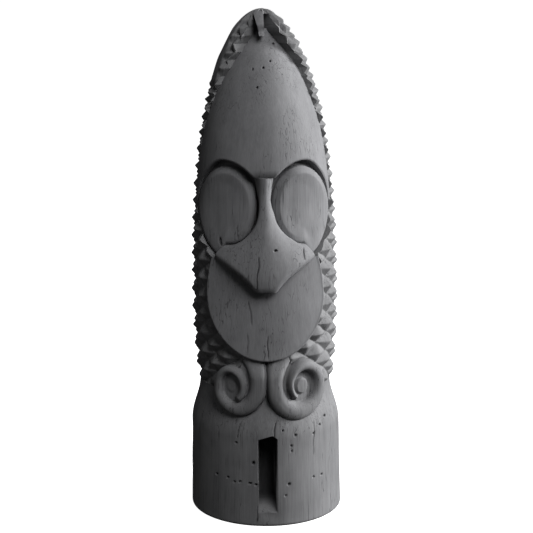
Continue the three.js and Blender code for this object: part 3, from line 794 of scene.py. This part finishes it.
def hair_net(low, high):
    """Angles and heights that fall on the lattice of the pyramids, between two half columns."""
    angles = (np.arange(round(low * NET), round(high * NET) + 1) / NET + 0.5) * HALF_COLUMN
    rows = np.interp(np.arange((len(ROW_Z) - 1) * NET + 1) / NET, np.arange(len(ROW_Z)), ROW_Z)
    return angles, rows


def odd_hair_cell(angle, z):
    """Whether a cell of the net is split the other way, so that its diagonal follows a valley."""
    i = np.floor(angle / HALF_COLUMN - 0.5)
    k = np.floor(np.interp(z, ROW_Z, np.arange(len(ROW_Z))))
    return np.mod(i + k, 2) > 0.5


def net(low, high, step):
    """Angles from low to high, which are in degrees, about a step apart on the log's surface."""
    count = int(math.radians(high - low) * LOG_R / step) + 1
    return np.radians(np.linspace(low, high, count))


def heights(low, high, step):
    """Evenly spaced heights."""
    return np.linspace(low, high, int((high - low) / step) + 1)


def weld(obj):
    """Joins the vertices that meet at the crown."""
    bm = bmesh.new()
    bm.from_mesh(obj.data)
    bmesh.ops.remove_doubles(bm, verts=bm.verts, dist=1e-6)
    bmesh.ops.dissolve_degenerate(bm, edges=bm.edges, dist=1e-7)
    bm.to_mesh(obj.data)
    bm.free()


def lathe(name, sides, rows, radius):
    """A closed column, its radius a function of angle and height."""
    A, Z = np.meshgrid(np.arange(0, sides) * (2 * math.pi / sides), rows)
    points = list(place(A, Z, radius(A, Z)).reshape(-1, 3))
    n, m = sides, len(rows)
    faces, sharp = [], []
    for k in range(m - 1):
        for i in range(n):
            a, b = k * n + i, k * n + (i + 1) % n
            faces.append((a, b, b + n, a + n))
    bottom, top = len(points), len(points) + 1
    points += [place(0.0, float(rows[0]), 0.0), place(0.0, float(rows[-1]), 0.0)]
    last = (m - 1) * n
    for i in range(n):
        faces.append((bottom, (i + 1) % n, i))
        faces.append((top, last + i, last + (i + 1) % n))
        sharp += [(i, (i + 1) % n), (last + i, last + (i + 1) % n)]
    return mesh_object(name, points, faces, sharp)


def lofted(name, rings):
    """A closed solid through rings of points, first to last."""
    n = len(rings[0])
    points = [Vector(p) / MM for ring in rings for p in ring]
    faces = [tuple(range(n))[::-1], tuple(range(len(points) - n, len(points)))]
    for k in range(len(rings) - 1):
        for i in range(n):
            a, b = k * n + i, k * n + (i + 1) % n
            faces.append((a, b, b + n, a + n))
    obj = mesh_object(name, points, faces)
    obj.data.flip_normals()
    return obj


def slot_cutter():
    """The slot: a narrowing box with a pointed top, a chamfered mouth and a ramp in front."""
    lean = -LEAN * SLOT_MIDDLE / HEIGHT
    rings = []
    for back, half, top, peak, low in SLOT_RINGS:
        plan = [(-half, low), (half, low), (half, top - 2), (half * 0.45, top + peak), (-half, top - 4)]
        rings.append([(x + lean, back - FOOT_R, z) for x, z in plan])
    return lofted("slot_cutter", rings)


def subtract(obj, cutter):
    """Cuts the cutter out of an object and removes the cutter."""
    cut = obj.modifiers.new("cut", "BOOLEAN")
    cut.operation = "DIFFERENCE"
    cut.solver = "EXACT"
    cut.object = cutter
    bpy.context.view_layer.update()
    made = bpy.data.meshes.new_from_object(obj.evaluated_get(bpy.context.evaluated_depsgraph_get()))
    obj.modifiers.clear()
    obj.data = made
    bpy.data.objects.remove(cutter)


# ---- wood ------------------------------------------------------------------------------------
def wood(name, dark, pale, rough):
    """Weathered grey wood: upright grain, blotches, and fine checks, pits and cuts darkened with painted
    shade.
    """
    material = bpy.data.materials.new(name)
    material.use_nodes = True
    nodes, links = material.node_tree.nodes, material.node_tree.links
    shader = nodes["Principled BSDF"]
    where = nodes.new("ShaderNodeTexCoord").outputs["Object"]

    def node(kind, inputs, **settings):
        made = nodes.new(kind)
        for key, value in settings.items():
            setattr(made, key, value)
        for key, value in inputs.items():
            if isinstance(value, bpy.types.NodeSocket):
                links.new(value, made.inputs[key])
            else:
                made.inputs[key].default_value = value
        return made.outputs

    def streaks(across, upward, detail, seed):
        stretched = node("ShaderNodeMapping", {
            "Vector": where, "Scale": (across, across, upward), "Location": (seed, seed, seed)})
        return node("ShaderNodeTexNoise", {
            "Vector": stretched["Vector"], "Scale": 1.0, "Detail": detail, "Roughness": 0.6})["Fac"]

    def fade(value, low, high, start=0.0, end=1.0):
        return node("ShaderNodeMapRange", {
            "Value": value, "From Min": low, "From Max": high, "To Min": start, "To Max": end})["Result"]

    def combine(operation, a, b):
        return node("ShaderNodeMath", {0: a, 1: b}, operation=operation)["Value"]

    def weigh(value, share):
        return combine("MULTIPLY", value, share)

    def mixed(share, a, b):
        return node("ShaderNodeMix", {"Factor": share, "A": a, "B": b}, data_type="RGBA")["Result"]

    fine, broad, blotch = streaks(330, 9, 4, 0), streaks(60, 2.2, 3, 3.7), streaks(11, 7, 4, 9.1)
    tone = combine("ADD", combine("ADD", weigh(fine, 0.5), weigh(broad, 0.34)), weigh(blotch, 0.7))
    clean = mixed(fade(tone, 0.53, 1.02), (*dark, 1), (*pale, 1))

    # Fine checks and pits drawn as dark lines and dots, with only a bump for depth: painted shade in cracks
    # and pits.
    line = combine("ABSOLUTE", combine("SUBTRACT", streaks(95, 2.6, 1.5, 5.3), 0.5), 0.0)
    checks = weigh(fade(line, 0.004, 0.018, 1.0, 0.0), fade(streaks(14, 5, 2, 1.9), 0.44, 0.58))
    specks = node("ShaderNodeTexVoronoi", {"Vector": where, "Scale": 85.0})["Distance"]
    specks = weigh(fade(specks, 0.06, 0.13, 1.0, 0.0), fade(streaks(24, 20, 2, 6.2), 0.64, 0.7))
    # Painted shade: the checks, the pits and the share kept on the vertices darken the wood towards the
    # near-black.
    cut = node("ShaderNodeAttribute", {}, attribute_name="cut")["Fac"]
    shade_share = combine("MAXIMUM", combine("MAXIMUM", weigh(checks, 0.62), weigh(specks, 0.9)), cut)
    links.new(mixed(shade_share, clean, PAINTED_SHADE), shader.inputs["Base Color"])
    shader.inputs["Roughness"].default_value = rough
    shader.inputs["Specular IOR Level"].default_value = 0.3
    height = combine("SUBTRACT", combine("ADD", weigh(fine, 0.5), weigh(broad, 0.5)), shade_share)
    bump = node("ShaderNodeBump", {"Height": height, "Strength": 0.35, "Distance": 0.0012})
    links.new(bump["Normal"], shader.inputs["Normal"])
    return material


face_wood = wood("face_wood", (0.135, 0.136, 0.142), (0.215, 0.216, 0.224), 0.72)
plinth_wood = wood("plinth_wood", (0.125, 0.126, 0.131), (0.215, 0.216, 0.222), 0.78)
hair_wood = wood("hair_wood", (0.12, 0.121, 0.125), (0.215, 0.216, 0.221), 0.78)


def paint_shade_in_cuts(obj):
    """Painted shade in the nail holes and checks, and growing deeper in the slot, kept on the vertices for
    the wood to read.
    """
    points = np.empty(len(obj.data.vertices) * 3)
    obj.data.vertices.foreach_get("co", points)
    x, y, z = (points.reshape(-1, 3) * MM).T
    x = x + LEAN * z / HEIGHT
    reach = np.hypot(x, y)
    # Painted shade in the nail holes and checks, as deep as the marks they darken.
    depth = marks(np.arctan2(x, -y), z, reach, PAINTED_SHADE_LEAST)
    # Painted shade in the slot, darker the deeper in a point lies.
    slot = (np.abs(x) < SLOT_HALF) & (y < 0) & (z > SLOT_LOW) & (z < NECK_Z - 100)
    inside = PAINTED_SHADE_DEPTH * smooth(drum_r(z) - reach, SLOT_SHADE_START, SLOT_SHADE_FULL)
    depth = np.maximum(depth, np.where(slot, inside, 0))
    cut = obj.data.attributes.new("cut", "FLOAT", "POINT")
    cut.data.foreach_set("value", clamp(depth / PAINTED_SHADE_DEPTH, 0.0, PAINTED_SHADE_MOST).astype(np.float32))


def finish_piece(obj, material, node):
    """Paints shade into a piece's cuts, gives it its wood, hangs it on the root and hides the CAD node it
    stands for.
    """
    paint_shade_in_cuts(obj)
    obj.data.materials.clear()
    obj.data.materials.append(material)
    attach(obj, "root")
    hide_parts(node)


# ---- the figure ------------------------------------------------------------------------------
def carved(radius, size=26.0, much=0.7):
    """A surface's radius with the unevenness of hand work and the marks of age."""
    return lambda a, z: radius(a, z) + worked(a, z, size, much) - marks(a, z, radius(a, z))


def keel_floor(z):
    """How deep the keel reaches, behind the face and clear of the crown."""
    return np.minimum(np.maximum(forehead_r(z) - 12, 4), head_r(z) * 0.6)


foot_rows = [0, 0.8, 2, 4, 6.5, 9]
drum = lathe("base_drum_carved", DRUM_SIDES, np.concatenate([foot_rows, heights(12, NECK_Z, 2.4)]),
             drum_surface_r)
subtract(drum, slot_cutter())
finish_piece(drum, plinth_wood, "base_drum")

core = lathe("log_core_wood", CORE_SIDES, np.concatenate([[NECK_Z + GAP], heights(400, HEIGHT - 82, 12)]),
             lambda a, z: core_r(z) - 2 + 0 * a)
finish_piece(core, face_wood, "head_core")

forehead = carve("forehead_carved", net(-86, 86, STEP), heights(EYE_Z - 6, APEX_Z + 12, STEP),
                 in_forehead, carved(forehead_face_r, 60, 0.5), floor=shell_floor)
finish_piece(forehead, face_wood, "forehead")

keel = carve("crown_keel_carved", np.radians(np.linspace(-70, 40, 90)),
             heights(APEX_Z - 14, HEIGHT - 4, 1.0), in_keel, carved(keel_r), floor=keel_floor)
finish_piece(keel, face_wood, "crown_keel")

for side, low, high in (("left", -90, -2), ("right", 2, 90)):
    eye = carve(f"{side}_eye_carved", net(low, high, STEP), heights(724, 1004, STEP),
                in_socket, carved(eye_r, 50, 0.3))
    finish_piece(eye, face_wood, f"{side}_eye")

nose = carve("nose_carved", net(-58, 58, FINE_STEP), heights(660, BRIDGE_Z + 4, FINE_STEP),
             in_nose, carved(nose_r, 26, 0.4))
finish_piece(nose, face_wood, "nose")

chin = carve("chin_disc_carved", net(-70, 70, STEP), heights(CHIN_Z - CHIN_DROP - 4, CHIN_TOP + 4, STEP),
             in_chin_piece, carved(chin_r, 60, 0.4))
finish_piece(chin, face_wood, "chin_disc")

for side, name in ((-1, "left"), (1, "right")):
    low, high = sorted((-side * 1.0, side * 56.0))
    scroll = carve(f"{name}_volute_carved", net(low, high, FINE_STEP), heights(296, 486, FINE_STEP),
                   in_scroll(side), carved(scroll_r(side), 26, 0.5), floor=lambda z: SCROLL_FLOOR_R + 0 * z)
    finish_piece(scroll, plinth_wood, f"{name}_volute")

hair_fields = (("left", -BACK - 1, -0.5), ("right", -0.5, BACK), ("back", BACK, 2 * PYRAMIDS - BACK - 1))
for name, low, high in hair_fields:
    angles, rows = hair_net(low, high)
    hair = carve(f"hair_{name}_carved", angles, rows, in_hair, carved(hair_r, 26, 0.5),
                 warp=hair_warp, odd_cell=odd_hair_cell, floor=shell_floor)
    weld(hair)
    finish_piece(hair, hair_wood, f"hair_{name}")


# ---- floor and light -------------------------------------------------------------------------
def studio_floor():
    """A pale floor that glows by itself and throws no light on the figure."""
    bpy.ops.mesh.primitive_plane_add(size=600, location=(0, 0, 0))
    ground = bpy.context.object
    ground.name = "studio_floor"
    material = bpy.data.materials.new("pale_floor")
    material.use_nodes = True
    inputs = material.node_tree.nodes["Principled BSDF"].inputs
    inputs["Base Color"].default_value = (0.93, 0.93, 0.93, 1)
    inputs["Roughness"].default_value = 0.9
    inputs["Emission Color"].default_value = (1, 1, 1, 1)
    inputs["Emission Strength"].default_value = 1.0
    ground.data.materials.append(material)
    ground.visible_diffuse = False
    ground.visible_glossy = False


def softbox(name, location, target, size, power):
    """A round lamp of a size in metres and a power in watts, turned towards its target."""
    light = bpy.data.lights.new(name, "AREA")
    light.shape = "DISK"
    light.size = size
    light.energy = power
    lamp = bpy.data.objects.new(name, light)
    lamp.location = location
    lamp.rotation_euler = (Vector(target) - Vector(location)).to_track_quat("-Z", "Y").to_euler()
    bpy.context.scene.collection.objects.link(lamp)


studio_floor()
softbox("key", (6.6, 0.5, 2.6), (0, 0, 0.7), 3.0, 930)
softbox("front_fill", (2.4, -4.4, 5.4), (0, 0, 0.6), 4.0, 300)
softbox("left_fill", (-5.5, -2.0, 2.6), (0, 0, 0.6), 4.0, 13)

world = bpy.data.worlds.new("studio")
world.use_nodes = True
world.node_tree.nodes["Background"].inputs["Color"].default_value = (1, 1, 1, 1)
world.node_tree.nodes["Background"].inputs["Strength"].default_value = 0.03
bpy.context.scene.world = world
bpy.context.scene.view_settings.view_transform = "Standard"
